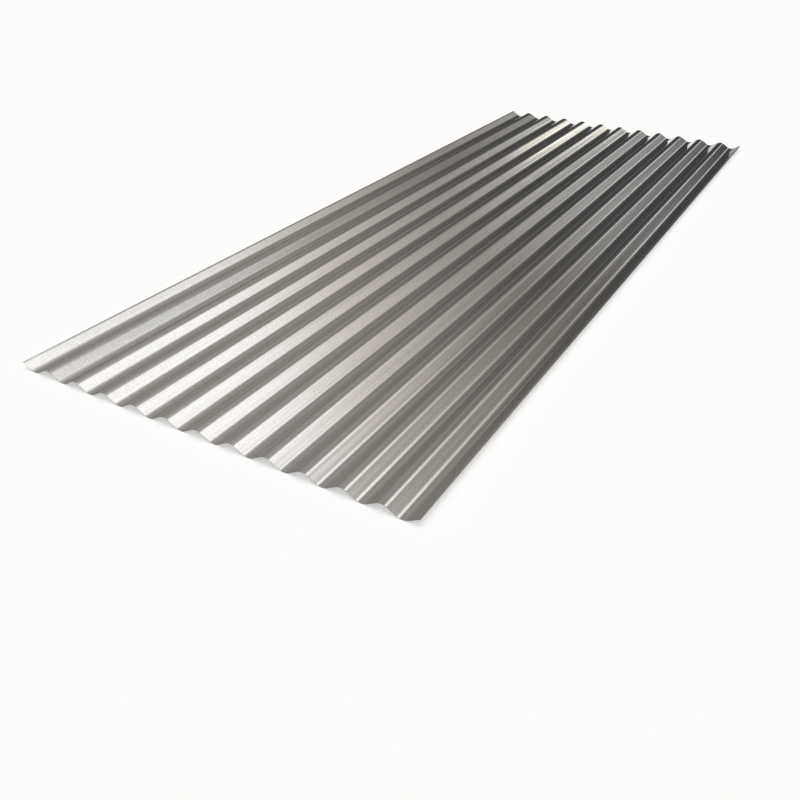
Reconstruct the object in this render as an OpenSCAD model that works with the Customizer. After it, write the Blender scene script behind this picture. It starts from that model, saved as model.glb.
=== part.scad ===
// Corrugated roofing sheet, rolled in one piece from a flat strip of galvanised steel.
// It lies on its troughs. +Y runs along the waves and +X across them,
// and the origin is on the floor under the middle of the sheet, below its middle crest.

/* [Sheet] */
// Length of the sheet, along its waves
sheet_length = 2400; // [300:10:6000]
// Overall width of the sheet, from edge to edge across its waves
sheet_width = 900; // [200:1:1250]
// Thickness of the steel with its zinc coat
steel_thickness = 0.5; // [0.3:0.05:1.2]

/* [Waves] */
// Pitch of the waves, from crest to crest
wave_pitch = 76; // [50:1:130]
// Overall depth of the waves, from the underside of a trough to the top of a crest
wave_depth = 16; // [6:0.5:30]
// Radius of the bends in crests and troughs, at the middle of the steel
bend_radius = 21; // [4:0.5:40]

/* [Hidden] */

// Straight steps that each whole bend is drawn in, even so that one corner is at its very top
bend_steps = 14;
// Largest share of the radius that fits in the wave, so that a straight flank is left between bends
radius_share = 0.95;

// Crests and troughs alternate at half the pitch
half_pitch = wave_pitch / 2;
// Height of the middle of the steel in a trough, and in a crest
trough_height = steel_thickness / 2;
crest_height = wave_depth - steel_thickness / 2;
rise = crest_height - trough_height;
// Bend radius, limited to what the pitch and the depth have room for
fitting_radius = (half_pitch ^ 2 + rise ^ 2) / (4 * rise);
radius = min(bend_radius, radius_share * fitting_radius);
// Slope of the straight flank that touches a crest bend and the trough bend beside it
crossing = [half_pitch, 2 * radius - rise];
flank_slope = atan2(crossing.x, crossing.y) - acos(2 * radius / norm(crossing));
// How far a bend reaches to each side of its middle, and how far the steel drops there
bend_reach = radius * sin(flank_slope);
bend_drop = radius * (1 - cos(flank_slope));
// Bends to each side of the middle crest, as far as the outermost one that the width can reach
side_bends = ceil(sheet_width / wave_pitch) + 1;

// Even bends are crests and odd bends are troughs
function is_crest(bend) = bend % 2 == 0;

// A point in the middle of the steel: [x, z, lean of its upward normal towards +X]
function steel_point(bend, offset, drop, turn) =
    is_crest(bend)
        ? [bend * half_pitch + offset, crest_height - drop, turn]
        : [bend * half_pitch + offset, trough_height + drop, -turn];

// The point on a bend that lies a given angle from the bend's middle
function bend_point(bend, turn) =
    steel_point(bend, radius * sin(turn), radius * (1 - cos(turn)), turn);

// The point at any distance x from the middle of the sheet, on a bend or on a flank
function point_at(x) =
    let (bend = round(x / half_pitch))
    let (offset = x - bend * half_pitch)
    abs(offset) <= bend_reach
        ? bend_point(bend, asin(offset / radius))
        : steel_point(
            bend,
            offset,
            bend_drop + (abs(offset) - bend_reach) * tan(flank_slope),
            sign(offset) * flank_slope
        );

// The steel is cut square to its own surface, so the middle of an edge lies a little inside the width
edge_lean = point_at(sheet_width / 2)[2];
edge_x = sheet_width / 2 - steel_thickness / 2 * abs(sin(edge_lean));

// Middle of the steel from the left edge to the right edge, with its flanks left as straight runs
middle_line = [
    point_at(-edge_x),
    for (bend = [-side_bends:side_bends])
        for (step = [0:bend_steps])
            let (point = bend_point(bend, flank_slope * (2 * step / bend_steps - 1)))
            if (abs(point.x) < edge_x - steel_thickness) point,
    point_at(edge_x)
];

// A point moved from the middle of the steel out to a face: side is 1 for the top, -1 for the underside
function face_point(point, side) =
    [point.x, point.y] + side * steel_thickness / 2 * [sin(point.z), cos(point.z)];

// Section of the sheet, along its top from left to right and back along its underside
function sheet_section() = [
    for (point = middle_line) face_point(point, 1),
    for (i = [len(middle_line) - 1:-1:0]) face_point(middle_line[i], -1)
];

// The whole sheet: one section, drawn out along the waves
module corrugated_sheet() {
    color("silver")
        rotate([90, 0, 0])
            linear_extrude(height = sheet_length, center = true)
                polygon(sheet_section());
}

corrugated_sheet();
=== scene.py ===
import math

import bpy
from mathutils import Matrix, Vector


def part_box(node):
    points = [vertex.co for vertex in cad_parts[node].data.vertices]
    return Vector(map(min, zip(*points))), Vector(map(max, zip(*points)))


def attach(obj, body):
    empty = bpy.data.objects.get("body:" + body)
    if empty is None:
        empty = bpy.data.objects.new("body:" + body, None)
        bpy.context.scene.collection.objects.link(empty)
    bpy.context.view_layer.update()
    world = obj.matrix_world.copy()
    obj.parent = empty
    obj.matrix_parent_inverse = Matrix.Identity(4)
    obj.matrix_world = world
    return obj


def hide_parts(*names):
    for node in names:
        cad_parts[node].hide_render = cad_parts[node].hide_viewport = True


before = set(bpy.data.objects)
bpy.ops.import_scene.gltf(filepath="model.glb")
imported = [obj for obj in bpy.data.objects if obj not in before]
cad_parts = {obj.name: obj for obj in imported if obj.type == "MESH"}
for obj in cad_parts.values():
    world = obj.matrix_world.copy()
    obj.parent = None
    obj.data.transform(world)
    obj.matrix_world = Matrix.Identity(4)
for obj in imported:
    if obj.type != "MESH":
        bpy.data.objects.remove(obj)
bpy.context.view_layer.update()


# Corrugated sheet
# One strip of thin steel, hot-dipped in zinc and then rolled between shaped rolls into long even waves.
# Nothing is fixed to it: it lies loose on its troughs, with both long edges turned up.
MM = 0.001
lowest, highest = (Vector(corner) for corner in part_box("corrugated_sheet"))
sheet_width, sheet_length, wave_depth = highest - lowest
steel_thickness = 0.5 * MM
wave_pitch = 76 * MM
bend_radius = 21 * MM

# The straight flank between a crest bend and the trough bend beside it touches both bends
half_pitch = wave_pitch / 2
rise = wave_depth - steel_thickness
crossing = Vector((half_pitch, 2 * bend_radius - rise))
flank_slope = math.atan2(*crossing) - math.acos(2 * bend_radius / crossing.length)

# The steel is cut square to its own surface, just short of the crest that would come next, so the middle
# of its edges lies a little inside the width. A hair of clearance keeps the sheet inside its box.
next_crest = 6
clearance = 0.02 * MM
edge_lean = math.asin((next_crest * wave_pitch - sheet_width / 2) / bend_radius)
middle_width = sheet_width - steel_thickness * math.sin(edge_lean) - 2 * clearance


def linear(hex_colour):
    """The linear RGBA value of an sRGB colour that is written as #RRGGBB."""
    channels = [int(hex_colour[i:i + 2], 16) / 255 for i in (1, 3, 5)]
    return [c / 12.92 if c <= 0.04045 else ((c + 0.055) / 1.055) ** 2.4 for c in channels] + [1.0]


def add(tree, kind, inputs=(), **settings):
    """Adds a node with its settings. Each input is linked to a node or socket, or set to a value."""
    node = tree.nodes.new(kind)
    for name, value in settings.items():
        setattr(node, name, value)
    for name, value in dict(inputs).items():
        if isinstance(value, bpy.types.Node):
            value = value.outputs[0]
        if isinstance(value, bpy.types.NodeSocket):
            tree.links.new(value, node.inputs[name])
        else:
            node.inputs[name].default_value = value
    return node


# Hot-dip galvanised steel: a zinc skin that froze in flat crystals, the spangle, each of them tilted a
# little its own way. The eye sees a satin mirror with a fine grain, and faint streaks where rolls ran.
galvanised_steel = bpy.data.materials.new("hot_dip_galvanised_steel")
galvanised_steel.use_nodes = True
zinc = galvanised_steel.node_tree
zinc.nodes.clear()

# The spangle is of the fine kind. The lines of the rolls are finer than a millimetre on real steel, and
# are drawn coarser here so that they show.
spangle_size = 3 * MM
spangle_tilt = 0.006
spangle_roughness = 0.03
streak_width = 6 * MM
streak_length = 900 * MM
streak_lean = 0.08
darkest_streak = 0.35
smudge_size = 160 * MM
clean_roughness, smudged_roughness = 0.06, 0.10
# Colour sockets of a Mix node
MIX_A, MIX_B, MIX_RESULT = 6, 7, 2

place = add(zinc, "ShaderNodeTexCoord").outputs["Object"]
spangle = add(zinc, "ShaderNodeTexVoronoi", {"Vector": place, "Scale": 1 / spangle_size})
crystal = add(zinc, "ShaderNodeSeparateColor", {"Color": spangle.outputs["Color"]})
along_rolls = add(zinc, "ShaderNodeMapping", {
    "Vector": place,
    "Scale": (1 / streak_width, 1 / streak_length, 1 / streak_width),
})
streaks = add(zinc, "ShaderNodeTexNoise", {"Vector": along_rolls, "Scale": 1, "Detail": 3})
smudges = add(zinc, "ShaderNodeTexNoise", {"Vector": place, "Scale": 1 / smudge_size, "Detail": 4})

crystal_colour = add(zinc, "ShaderNodeMix", {
    "Factor": crystal.outputs["Red"],
    MIX_A: linear("#DBDBDB"),
    MIX_B: linear("#E6E6E6"),
}, data_type="RGBA")
streak_strength = add(zinc, "ShaderNodeMapRange", {
    "Value": streaks,
    "From Min": 0.42, "From Max": 0.75,
    "To Min": 0.0, "To Max": darkest_streak,
})
streaked_colour = add(zinc, "ShaderNodeMix", {
    "Factor": streak_strength,
    MIX_A: crystal_colour.outputs[MIX_RESULT],
    MIX_B: linear("#BCBCBC"),
}, data_type="RGBA")
smudge_roughness = add(zinc, "ShaderNodeMapRange", {
    "Value": smudges,
    "From Min": 0.3, "From Max": 0.7,
    "To Min": clean_roughness, "To Max": smudged_roughness,
})
zinc_roughness = add(zinc, "ShaderNodeMath", {
    0: crystal.outputs["Green"], 1: spangle_roughness, 2: smudge_roughness,
}, operation="MULTIPLY_ADD")

crystal_lean = add(zinc, "ShaderNodeVectorMath", {
    0: spangle.outputs["Color"], 1: (0.5, 0.5, 0.5),
}, operation="SUBTRACT")
crystal_facing = add(zinc, "ShaderNodeVectorMath", {
    0: crystal_lean,
    1: (spangle_tilt,) * 3,
    2: add(zinc, "ShaderNodeNewGeometry").outputs["Normal"],
}, operation="MULTIPLY_ADD")
# The lines that the rolls left are shallow, and lean a little to the left and right
streak_side = add(zinc, "ShaderNodeMath", {0: streaks, 1: 0.5}, operation="SUBTRACT")
streak_tilt = add(zinc, "ShaderNodeVectorMath", {
    0: (streak_lean, 0.0, 0.0), "Scale": streak_side,
}, operation="SCALE")
streak_facing = add(zinc, "ShaderNodeVectorMath", {0: crystal_facing, 1: streak_tilt}, operation="ADD")
zinc_normal = add(zinc, "ShaderNodeVectorMath", {0: streak_facing}, operation="NORMALIZE")

zinc_surface = add(zinc, "ShaderNodeBsdfPrincipled", {
    "Base Color": streaked_colour.outputs[MIX_RESULT],
    "Metallic": 1.0,
    "Roughness": zinc_roughness,
    "Normal": zinc_normal,
})
add(zinc, "ShaderNodeOutputMaterial", {"Surface": zinc_surface})

# Cut steel edge: bare carbon steel where the shears went through. The eye sees a dull dark line, a little
# brown in places with the first rust.
cut_steel_edge = bpy.data.materials.new("cut_steel_edge")
cut_steel_edge.use_nodes = True
bare = cut_steel_edge.node_tree
bare.nodes.clear()

rust_size = 12 * MM

rust_place = add(bare, "ShaderNodeTexCoord").outputs["Object"]
rust = add(bare, "ShaderNodeTexNoise", {"Vector": rust_place, "Scale": 1 / rust_size, "Detail": 3})
edge_colour = add(bare, "ShaderNodeMix", {
    "Factor": rust, MIX_A: linear("#77746F"), MIX_B: linear("#5C534B"),
}, data_type="RGBA")
edge_surface = add(bare, "ShaderNodeBsdfPrincipled", {
    "Base Color": edge_colour.outputs[MIX_RESULT], "Metallic": 1.0, "Roughness": 0.45,
})
add(bare, "ShaderNodeOutputMaterial", {"Surface": edge_surface})

# The wave follows one rule across the whole sheet: bends and straight flanks take turns at half the pitch.
# The rolls never pressed quite evenly, so the waves are here and there a little shallower.
rolling = bpy.data.node_groups.new("rolled_sheet", "GeometryNodeTree")
rolling_sizes = {
    "Width": middle_width,
    "Length": sheet_length - clearance,
    "Steel Thickness": steel_thickness,
    "Half Pitch": half_pitch,
    "Rise": rise,
    "Bend Radius": bend_radius,
    "Flank Slope": flank_slope,
    "Roll Unevenness": 0.03,
    "Trough Drift": 2.8 * MM,
}
rolling_counts = {"Points Across": 1081, "Points Along": 43, "Seed": 7}
rolling_materials = {"Skin": galvanised_steel, "Cut Edge": cut_steel_edge}
rolling_values = {}
for values, socket_type in (
    (rolling_sizes, "NodeSocketFloat"),
    (rolling_counts, "NodeSocketInt"),
    (rolling_materials, "NodeSocketMaterial"),
):
    for name, value in values.items():
        socket = rolling.interface.new_socket(name, in_out="INPUT", socket_type=socket_type)
        rolling_values[socket.identifier] = value
rolling.interface.new_socket("Sheet", in_out="OUTPUT", socket_type="NodeSocketGeometry")

given = add(rolling, "NodeGroupInput").outputs
strip = add(rolling, "GeometryNodeMeshGrid", {
    "Size X": given["Width"],
    "Size Y": given["Length"],
    "Vertices X": given["Points Across"],
    "Vertices Y": given["Points Along"],
})
point = add(rolling, "GeometryNodeInputPosition")
flat = add(rolling, "ShaderNodeSeparateXYZ", {0: point})
across = flat.outputs["X"]

# Distance from the nearest bend, which is a crest where its number is even and a trough where it is odd
pitches = add(rolling, "ShaderNodeMath", {0: across, 1: given["Half Pitch"]}, operation="DIVIDE")
bend = add(rolling, "ShaderNodeMath", {0: pitches}, operation="ROUND")
bend_place = add(rolling, "ShaderNodeMath", {0: bend, 1: given["Half Pitch"]}, operation="MULTIPLY")
offset = add(rolling, "ShaderNodeMath", {0: across, 1: bend_place}, operation="SUBTRACT")
distance = add(rolling, "ShaderNodeMath", {0: offset}, operation="ABSOLUTE")
odd = add(rolling, "ShaderNodeMath", {0: bend, 1: 2.0}, operation="FLOORED_MODULO")
side = add(rolling, "ShaderNodeMath", {0: odd, 1: -2.0, 2: 1.0}, operation="MULTIPLY_ADD")

# Drop below the top of the bend: along its arc first, then down the straight flank
lean = add(rolling, "ShaderNodeMath", {0: given["Flank Slope"]}, operation="SINE")
reach = add(rolling, "ShaderNodeMath", {0: given["Bend Radius"], 1: lean}, operation="MULTIPLY")
on_arc = add(rolling, "ShaderNodeMath", {0: distance, 1: reach}, operation="MINIMUM")
on_flank = add(rolling, "ShaderNodeMath", {0: distance, 1: on_arc}, operation="SUBTRACT")
arc_share = add(rolling, "ShaderNodeMath", {0: on_arc, 1: given["Bend Radius"]}, operation="DIVIDE")
arc_turn = add(rolling, "ShaderNodeMath", {0: arc_share}, operation="ARCSINE")
arc_cosine = add(rolling, "ShaderNodeMath", {0: arc_turn}, operation="COSINE")
arc_height = add(rolling, "ShaderNodeMath", {0: 1.0, 1: arc_cosine}, operation="SUBTRACT")
arc_drop = add(rolling, "ShaderNodeMath", {0: arc_height, 1: given["Bend Radius"]}, operation="MULTIPLY")
flank_fall = add(rolling, "ShaderNodeMath", {0: given["Flank Slope"]}, operation="TANGENT")
drop = add(rolling, "ShaderNodeMath", {0: on_flank, 1: flank_fall, 2: arc_drop}, operation="MULTIPLY_ADD")

# Height from the middle of the depth, eased where the rolls pressed less
uneven_across, uneven_along = 120 * MM, 700 * MM
half_rise = add(rolling, "ShaderNodeMath", {0: given["Rise"], 1: 0.5}, operation="MULTIPLY")
bend_height = add(rolling, "ShaderNodeMath", {0: half_rise, 1: drop}, operation="SUBTRACT")
wave = add(rolling, "ShaderNodeMath", {0: bend_height, 1: side}, operation="MULTIPLY")
roll_place = add(rolling, "ShaderNodeVectorMath", {
    0: point, 1: (1 / uneven_across, 1 / uneven_along, 1.0),
}, operation="MULTIPLY")
pressing = add(rolling, "ShaderNodeTexNoise", {
    "Vector": roll_place, "W": given["Seed"], "Scale": 1.0, "Detail": 1.0,
}, noise_dimensions="4D")
ease = add(rolling, "ShaderNodeMath", {0: pressing, 1: given["Roll Unevenness"]}, operation="MULTIPLY")
pressed = add(rolling, "ShaderNodeMath", {0: 1.0, 1: ease}, operation="SUBTRACT")
middle = add(rolling, "ShaderNodeMath", {
    0: given["Steel Thickness"], 1: 0.5, 2: half_rise,
}, operation="MULTIPLY_ADD")
height = add(rolling, "ShaderNodeMath", {0: wave, 1: pressed, 2: middle}, operation="MULTIPLY_ADD")

# The second trough from the left wandered inwards in the rolls, so the flank beside it is flatter
drifting_trough = -9.0
from_trough = add(rolling, "ShaderNodeMath", {0: pitches, 1: drifting_trough}, operation="SUBTRACT")
trough_near = add(rolling, "ShaderNodeMath", {0: from_trough}, operation="ABSOLUTE")
drift = add(rolling, "ShaderNodeMapRange", {
    "Value": trough_near,
    "From Min": 1.0, "From Max": 0.0,
    "To Min": 0.0, "To Max": given["Trough Drift"],
}, interpolation_type="SMOOTHSTEP")
drifted = add(rolling, "ShaderNodeMath", {0: across, 1: drift}, operation="ADD")
waved_point = add(rolling, "ShaderNodeCombineXYZ", {
    "X": drifted, "Y": flat.outputs["Y"], "Z": height,
})
waved = add(rolling, "GeometryNodeSetPosition", {"Geometry": strip, "Position": waved_point})

# The steel gets its thickness, half of it to each side of the wave
merge_distance = 0.01 * MM
half_steel = add(rolling, "ShaderNodeMath", {0: given["Steel Thickness"], 1: -0.5}, operation="MULTIPLY")
downwards = add(rolling, "ShaderNodeVectorMath", {
    0: add(rolling, "GeometryNodeInputNormal"), "Scale": half_steel,
}, operation="SCALE")
underside = add(rolling, "GeometryNodeSetPosition", {"Geometry": waved, "Offset": downwards})
thick = add(rolling, "GeometryNodeExtrudeMesh", {
    "Mesh": underside, "Offset Scale": given["Steel Thickness"], "Individual": False,
}, mode="FACES")
facing_down = add(rolling, "GeometryNodeFlipFaces", {"Mesh": underside})
both_faces = add(rolling, "GeometryNodeJoinGeometry")
for face in (thick, facing_down):
    rolling.links.new(face.outputs["Mesh"], both_faces.inputs["Geometry"])
closed = add(rolling, "GeometryNodeMergeByDistance", {"Geometry": both_faces, "Distance": merge_distance})

# The waves are smooth, and the sheared edges stay crisp
crisp_angle = math.radians(60)
smooth = add(rolling, "GeometryNodeSetShadeSmooth", {"Geometry": closed, "Shade Smooth": True})
edge_angle = add(rolling, "GeometryNodeInputMeshEdgeAngle")
cut_corner = add(rolling, "FunctionNodeCompare", {
    0: edge_angle, 1: crisp_angle,
}, data_type="FLOAT", operation="GREATER_THAN")
crisp = add(rolling, "GeometryNodeSetShadeSmooth", {
    "Geometry": smooth, "Selection": cut_corner, "Shade Smooth": False,
}, domain="EDGE")
real = add(rolling, "GeometryNodeRealizeInstances", {"Geometry": crisp})
skinned = add(rolling, "GeometryNodeSetMaterial", {"Geometry": real, "Material": given["Skin"]})
finished = add(rolling, "GeometryNodeSetMaterial", {
    "Geometry": skinned, "Selection": thick.outputs["Side"], "Material": given["Cut Edge"],
})
add(rolling, "NodeGroupOutput", {"Sheet": finished})

rolled_sheet = bpy.data.objects.new("rolled_sheet", bpy.data.meshes.new("rolled_sheet"))
bpy.context.collection.objects.link(rolled_sheet)
modifier = rolled_sheet.modifiers.new("rolling", "NODES")
modifier.node_group = rolling
for identifier, value in rolling_values.items():
    modifier[identifier] = value
evaluated = rolled_sheet.evaluated_get(bpy.context.evaluated_depsgraph_get())
sheet_mesh = bpy.data.meshes.new_from_object(evaluated)
# The tree's own grid leaves an empty first material slot
sheet_mesh.materials.pop(index=0)
rolled_sheet.modifiers.remove(modifier)
rolled_sheet.data = sheet_mesh
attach(rolled_sheet, "root")
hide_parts("corrugated_sheet")


# Floor
# A wide round floor, painted matt white, so that the sheet lies loose on a plain pale ground.
# Matt paint scatters nearly all light and hardly shines.
floor_radius, floor_corners = 40, 120
floor_turns = [2 * math.pi * corner / floor_corners for corner in range(floor_corners)]
floor_mesh = bpy.data.meshes.new("floor")
floor_mesh.from_pydata(
    [(floor_radius * math.cos(turn), floor_radius * math.sin(turn), 0) for turn in floor_turns],
    [], [range(floor_corners)],
)
floor = bpy.data.objects.new("floor", floor_mesh)
bpy.context.collection.objects.link(floor)
white_paint = bpy.data.materials.new("matt_white_paint")
white_paint.use_nodes = True
paint = white_paint.node_tree
paint_surface = paint.nodes["Principled BSDF"]
paint_surface.inputs["Base Color"].default_value = linear("#FAFAF9")
paint_surface.inputs["Roughness"].default_value = 0.9
paint_surface.inputs["Specular IOR Level"].default_value = 0.1

# To the eye, and in the mirror of the steel, the paint is lifted to white and its shadows stay
lift_to_white = 0.28
seen = add(paint, "ShaderNodeLightPath").outputs
seen_straight = add(paint, "ShaderNodeMath", {
    0: seen["Is Camera Ray"], 1: seen["Is Glossy Ray"],
}, operation="ADD")
seen_at_all = add(paint, "ShaderNodeMath", {
    0: seen_straight, 1: seen["Is Transmission Ray"],
}, operation="ADD")
white_lift = add(paint, "ShaderNodeMath", {0: seen_at_all, 1: lift_to_white}, operation="MULTIPLY")
paint.links.new(white_lift.outputs[0], paint_surface.inputs["Emission Strength"])
floor_mesh.materials.append(white_paint)


# Studio light
# A tent of white cloth that glows softly: bright overhead and high on the right, and dim at the height
# of the eye, so that the flanks of the waves mirror light and shade in turn. One tall lamp stands ahead.
world = bpy.data.worlds.new("soft_studio")
world.use_nodes = True
bpy.context.scene.world = world
tent = world.node_tree
tent.nodes.clear()

ray_direction = add(tent, "ShaderNodeTexCoord").outputs["Generated"]
ray = add(tent, "ShaderNodeSeparateXYZ", {0: ray_direction})
to_right, ahead, upward = ray.outputs["X"], ray.outputs["Y"], ray.outputs["Z"]


def upward_at(elevation):
    """How far up a ray of length 1 points at an elevation in degrees."""
    return math.sin(math.radians(elevation))


def sideways_at(azimuth):
    """How far to the right a ray points for each step ahead, at an azimuth in degrees."""
    return math.tan(math.radians(azimuth))


# Four widths of cloth, three of them ahead and one behind the camera: the brightness of each by its
# elevation in degrees, from the foot of the tent past its dim walls to the bright ceiling
left_cloth, middle_cloth, right_cloth, back_cloth = (
    add(tent, "ShaderNodeValToRGB", {"Fac": upward}) for _ in range(4))
for cloth, brightness_at in (
    (left_cloth, {
        0: 0.20, 5: 0.24, 10: 0.29, 20: 0.31, 25: 0.33, 30: 0.40, 38: 0.38, 46: 0.38, 52: 0.48, 58: 0.90,
        68: 1.65, 78: 2.20, 90: 2.40,
    }),
    (middle_cloth, {
        0: 0.20, 5: 0.10, 10: 0.055, 13: 0.05, 16: 0.06, 20: 0.08, 24: 0.10, 28: 0.15, 32: 0.20, 36: 0.26,
        42: 0.32, 48: 0.40, 54: 0.54, 60: 0.70, 68: 1.50, 78: 2.20, 90: 2.40,
    }),
    (right_cloth, {
        0: 0.20, 5: 0.10, 10: 0.055, 15: 0.07, 20: 0.14, 25: 0.23, 30: 0.32, 34: 0.44, 38: 0.60, 41: 0.74,
        44: 0.92, 47: 1.16, 50: 1.29, 58: 1.31, 68: 1.70, 78: 2.20, 90: 2.40,
    }),
    (back_cloth, {
        0: 0.60, 5: 0.34, 10: 0.17, 16: 0.14, 22: 0.17, 28: 0.26, 36: 0.42, 43: 0.58, 50: 0.74, 58: 0.88,
        68: 1.25, 78: 2.00, 90: 2.40,
    }),
):
    steps = cloth.color_ramp.elements
    for elevation, brightness in brightness_at.items():
        step = (steps[0] if elevation == 0 else
                steps[-1] if elevation == 90 else
                steps.new(upward_at(elevation)))
        step.color = (brightness, brightness, brightness, 1.0)

# The seams between the three widths ahead, and the outer parts of the right one, which are dimmer
least_step = 0.02
forward_reach = add(tent, "ShaderNodeMath", {0: ahead, 1: least_step}, operation="MAXIMUM")
sideways = add(tent, "ShaderNodeMath", {0: to_right, 1: forward_reach}, operation="DIVIDE")
left_seam = add(tent, "ShaderNodeMapRange", {
    "Value": sideways, "From Min": -0.78, "From Max": -0.40,
}, interpolation_type="SMOOTHSTEP")
above = add(tent, "ShaderNodeMath", {0: upward, 1: least_step}, operation="MAXIMUM")
ceiling_right = add(tent, "ShaderNodeMath", {0: to_right, 1: above}, operation="DIVIDE")
right_seam = add(tent, "ShaderNodeMapRange", {
    "Value": ceiling_right, "From Min": -0.10, "From Max": 0.09,
}, interpolation_type="SMOOTHSTEP")
left_half = add(tent, "ShaderNodeMix", {
    "Factor": left_seam, MIX_A: left_cloth, MIX_B: middle_cloth,
}, data_type="RGBA")
right_end = add(tent, "ShaderNodeMapRange", {
    "Value": sideways, "From Min": 0.37, "From Max": 0.47,
}, interpolation_type="SMOOTHSTEP")
right_inside = add(tent, "ShaderNodeMix", {
    "Factor": right_end, MIX_A: right_cloth, MIX_B: linear("#EDEDED"),
}, data_type="RGBA", blend_type="MULTIPLY")
right_outside = add(tent, "ShaderNodeMapRange", {
    "Value": ceiling_right, "From Min": 0.365, "From Max": 0.43,
}, interpolation_type="SMOOTHSTEP")
right_half = add(tent, "ShaderNodeMix", {
    "Factor": right_outside, MIX_A: right_inside.outputs[MIX_RESULT], MIX_B: linear("#E5E5E5"),
}, data_type="RGBA", blend_type="MULTIPLY")
cloth_ahead = add(tent, "ShaderNodeMix", {
    "Factor": right_seam, MIX_A: left_half.outputs[MIX_RESULT], MIX_B: right_half.outputs[MIX_RESULT],
}, data_type="RGBA")

# The cloth is a little warm in colour on the left and at middle height
least_warmth = 0.3
left_share = add(tent, "ShaderNodeMath", {0: 1.0, 1: left_seam}, operation="SUBTRACT")
middle_height = add(tent, "ShaderNodeMapRange", {
    "Value": upward, "From Min": upward_at(18), "From Max": upward_at(28),
}, interpolation_type="SMOOTHSTEP")
warm_place = add(tent, "ShaderNodeMath", {0: left_share, 1: middle_height}, operation="MAXIMUM")
warm_height = add(tent, "ShaderNodeMapRange", {
    "Value": upward,
    "From Min": upward_at(40), "From Max": upward_at(50),
    "To Min": 1.0, "To Max": least_warmth,
}, interpolation_type="SMOOTHSTEP")
warmth = add(tent, "ShaderNodeMath", {0: warm_place, 1: warm_height}, operation="MULTIPLY")
warm_cloth = add(tent, "ShaderNodeMix", {
    "Factor": warmth, MIX_A: cloth_ahead.outputs[MIX_RESULT], MIX_B: linear("#FFF7EC"),
}, data_type="RGBA", blend_type="MULTIPLY")

# A tall narrow lamp far ahead, with soft edges
lamp_azimuth, lamp_brightness = 3.6, 1.6
lamp_offset = add(tent, "ShaderNodeMath", {0: sideways, 1: sideways_at(lamp_azimuth)}, operation="SUBTRACT")
lamp_distance = add(tent, "ShaderNodeMath", {0: lamp_offset}, operation="ABSOLUTE")
lamp_width = add(tent, "ShaderNodeMapRange", {
    "Value": lamp_distance, "From Min": sideways_at(1.1), "From Max": sideways_at(0.2),
}, interpolation_type="SMOOTHSTEP")
lamp_foot = add(tent, "ShaderNodeMapRange", {
    "Value": upward, "From Min": upward_at(10), "From Max": upward_at(14),
}, interpolation_type="SMOOTHSTEP")
lamp_head = add(tent, "ShaderNodeMapRange", {
    "Value": upward, "From Min": upward_at(28), "From Max": upward_at(24),
}, interpolation_type="SMOOTHSTEP")
lamp_height = add(tent, "ShaderNodeMath", {0: lamp_foot, 1: lamp_head}, operation="MULTIPLY")
lamp_shape = add(tent, "ShaderNodeMath", {0: lamp_width, 1: lamp_height}, operation="MULTIPLY")
lamp_strength = add(tent, "ShaderNodeMath", {0: lamp_shape, 1: lamp_brightness}, operation="MULTIPLY")
lamp_light = add(tent, "ShaderNodeMix", {
    "Factor": lamp_strength, MIX_A: warm_cloth.outputs[MIX_RESULT], MIX_B: linear("#FFF9EA"),
}, data_type="RGBA", blend_type="ADD", clamp_factor=False)

# The wide soft glow that the lamp throws on the cloth round it
glow_elevation, glow_azimuth, glow_reach = (math.radians(angle) for angle in (23, 5, 10))
glow_brightness = 0.22
towards_glow = add(tent, "ShaderNodeVectorMath", {0: ray_direction, 1: (
    math.cos(glow_elevation) * math.sin(glow_azimuth),
    math.cos(glow_elevation) * math.cos(glow_azimuth),
    math.sin(glow_elevation),
)}, operation="DOT_PRODUCT")
glow_spread = add(tent, "ShaderNodeMapRange", {
    "Value": towards_glow.outputs["Value"],
    "From Min": math.cos(glow_reach), "From Max": 1.0,
    "To Min": 0.0, "To Max": glow_brightness,
}, interpolation_type="SMOOTHSTEP")
glow_light = add(tent, "ShaderNodeMix", {
    "Factor": glow_spread, MIX_A: lamp_light.outputs[MIX_RESULT], MIX_B: linear("#FFFFFF"),
}, data_type="RGBA", blend_type="ADD")

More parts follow.
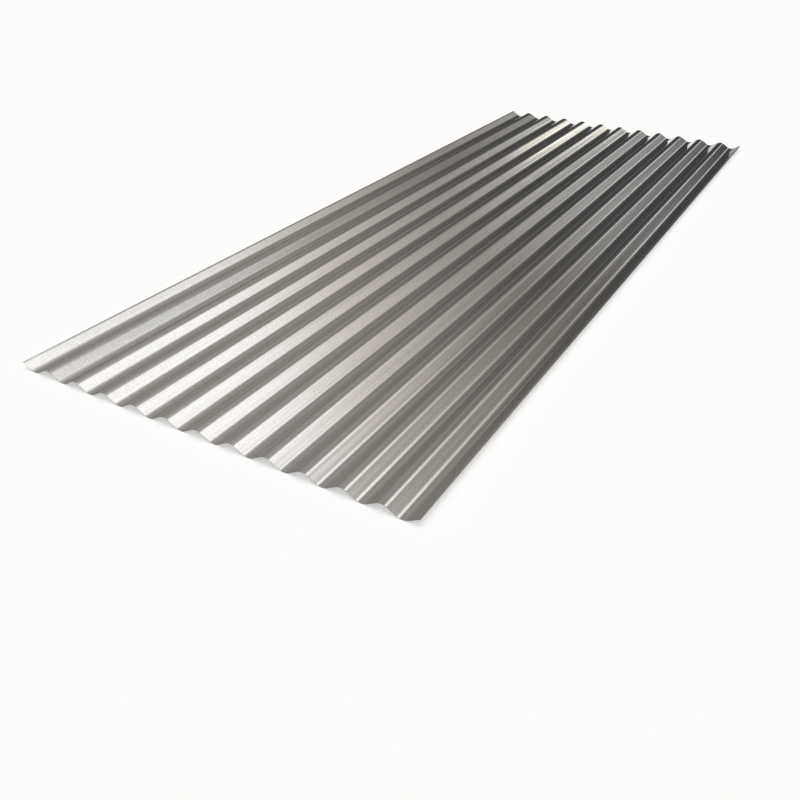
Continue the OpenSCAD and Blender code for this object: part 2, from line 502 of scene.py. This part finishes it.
# The foot of the tent turns pale towards the right
foot_side = add(tent, "ShaderNodeMapRange", {
    "Value": to_right, "From Min": 0.0, "From Max": 0.6,
}, interpolation_type="SMOOTHSTEP")
foot_height = add(tent, "ShaderNodeMapRange", {
    "Value": upward, "From Min": 0.15, "From Max": 0.03,
}, interpolation_type="SMOOTHSTEP")
foot = add(tent, "ShaderNodeMath", {0: foot_side, 1: foot_height}, operation="MULTIPLY")
footed = add(tent, "ShaderNodeMix", {
    "Factor": foot, MIX_A: glow_light.outputs[MIX_RESULT], MIX_B: linear("#E6E6E6"),
}, data_type="RGBA")

# The seam to the cloth behind the camera
behind = add(tent, "ShaderNodeMapRange", {
    "Value": ahead, "From Min": 0.54, "From Max": 0.20,
}, interpolation_type="SMOOTHSTEP")
lit = add(tent, "ShaderNodeMix", {
    "Factor": behind, MIX_A: footed.outputs[MIX_RESULT], MIX_B: back_cloth,
}, data_type="RGBA")
tent_light = add(tent, "ShaderNodeBackground", {"Color": lit.outputs[MIX_RESULT], "Strength": 1.0})
add(tent, "ShaderNodeOutputWorld", {"Surface": tent_light})


# Camera
# A wide lens less than a metre above the floor, off the near right corner of the sheet, which looks
# down along the waves. Its place and its turn are fitted to the frame of the photograph.
sensor_width = 36.0
frame_pixels, focal_pixels = 800, 824.59
camera_data = bpy.data.cameras.new("camera")
camera_data.sensor_width = sensor_width
camera_data.lens = sensor_width * focal_pixels / frame_pixels
camera = bpy.data.objects.new("camera", camera_data)
bpy.context.collection.objects.link(camera)
camera_place = Vector((0.8925, -2.0482, 0.8518))
yaw, pitch, roll = 0.51730, 0.57508, 0.02091
forward = Vector((-math.sin(yaw) * math.cos(pitch), math.cos(yaw) * math.cos(pitch), -math.sin(pitch)))
level_right = Vector((math.cos(yaw), math.sin(yaw), 0.0))
level_up = level_right.cross(forward)
right = level_right * math.cos(roll) + level_up * math.sin(roll)
up = level_up * math.cos(roll) - level_right * math.sin(roll)
camera_turn = Matrix((right, up, -forward)).transposed().to_4x4()
camera.matrix_world = Matrix.Translation(camera_place) @ camera_turn
bpy.context.scene.camera = camera
bpy.context.scene.view_settings.view_transform = "Standard"
